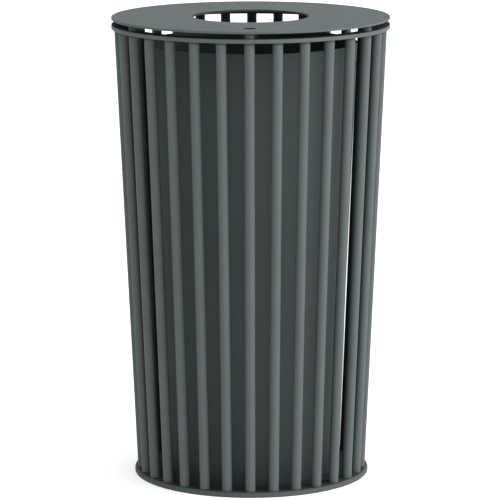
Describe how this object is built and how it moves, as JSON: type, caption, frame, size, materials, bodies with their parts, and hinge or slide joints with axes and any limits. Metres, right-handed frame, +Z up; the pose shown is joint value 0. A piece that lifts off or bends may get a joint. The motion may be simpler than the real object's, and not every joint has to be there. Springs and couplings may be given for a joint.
{
  "type": "outdoor trash can",
  "caption": "Round outdoor litter bin: cage of leaning round bars, hinged flat lid with a central throat and a key-turned cam lock, tapered lift-out liner with drop handles.",
  "frame": {"origin": "centre of the base disc's underside, where the bin stands and its anchor holes open", "axes": "+Z up, -Y towards the lock and the user, +X to the right seen from the front"},
  "size_m": [0.4999, 0.5238, 0.835],
  "materials": {
    "powder_coat": "fine matt powder coat, grey-green",
    "liner_coat": "matt powder coat, darker grey",
    "lock_steel": "dull zinc-plated steel",
    "pin_steel": "dull stainless steel",
    "zinc_wire": "galvanised wire"
  },
  "bodies": {
    "cage": {"base_disc": "powder_coat", "rod_01": "powder_coat", "rod_02": "powder_coat", "rod_03": "powder_coat", "rod_04": "powder_coat", "rod_05": "powder_coat", "rod_06": "powder_coat", "rod_07": "powder_coat", "rod_08": "powder_coat", "rod_09": "powder_coat", "rod_10": "powder_coat", "rod_11": "powder_coat", "rod_12": "powder_coat", "rod_13": "powder_coat", "rod_14": "powder_coat", "rod_15": "powder_coat", "rod_16": "powder_coat", "rod_17": "powder_coat", "rod_18": "powder_coat", "rod_19": "powder_coat", "rod_20": "powder_coat", "rod_21": "powder_coat", "rod_22": "powder_coat", "rod_23": "powder_coat", "rod_24": "powder_coat", "rod_25": "powder_coat", "rod_26": "powder_coat", "rod_27": "powder_coat", "rod_28": "powder_coat", "rod_29": "powder_coat", "rod_30": "powder_coat", "top_ring": "powder_coat", "spacer_1": "powder_coat", "spacer_2": "powder_coat", "spacer_3": "powder_coat", "spacer_4": "powder_coat", "spacer_5": "powder_coat", "spacer_6": "powder_coat", "latch_keeper": "powder_coat", "liner_locator_1": "powder_coat", "liner_locator_2": "powder_coat", "liner_locator_3": "powder_coat", "hinge_bracket_left": "powder_coat", "hinge_bracket_right": "powder_coat", "hinge_pins": "pin_steel"},
    "lid": {"lid_plate": "powder_coat", "hinge_strap_left": "powder_coat", "hinge_strap_right": "powder_coat", "lock_housing": "powder_coat"},
    "lock": {"lock_spindle": "lock_steel", "lock_cam": "lock_steel", "lock_screw": "lock_steel"},
    "liner": {"liner_wall": "liner_coat", "liner_bottom": "liner_coat", "handle_bracket_left": "liner_coat", "handle_bracket_right": "liner_coat", "handle_rivets": "liner_coat"},
    "handle_left": {"handle_left": "zinc_wire"},
    "handle_right": {"handle_right": "zinc_wire"}
  },
  "joints": [
    {"name": "lid_hinge", "type": "hinge", "parent": "cage", "child": "lid", "pos_m": [0, 0.262, 0.8245], "axis": [-1, 0, 0], "range_deg": [0, 100]},
    {"name": "lock_turn", "type": "hinge", "parent": "lid", "child": "lock", "pos_m": [0, -0.2, 0.82], "axis": [0, 0, -1], "range_deg": [0, 90]},
    {"name": "liner_lift", "type": "slide", "parent": "cage", "child": "liner", "axis": [0, 0, 1], "range_m": [0, 0.015]},
    {"name": "handle_left_swing", "type": "hinge", "parent": "liner", "child": "handle_left", "pos_m": [-0.17546, 0, 0.7505], "axis": [0, -1, 0], "range_deg": [0, 180]},
    {"name": "handle_right_swing", "type": "hinge", "parent": "liner", "child": "handle_right", "pos_m": [0.17546, 0, 0.7505], "axis": [0, 1, 0], "range_deg": [0, 180]}
  ]
}
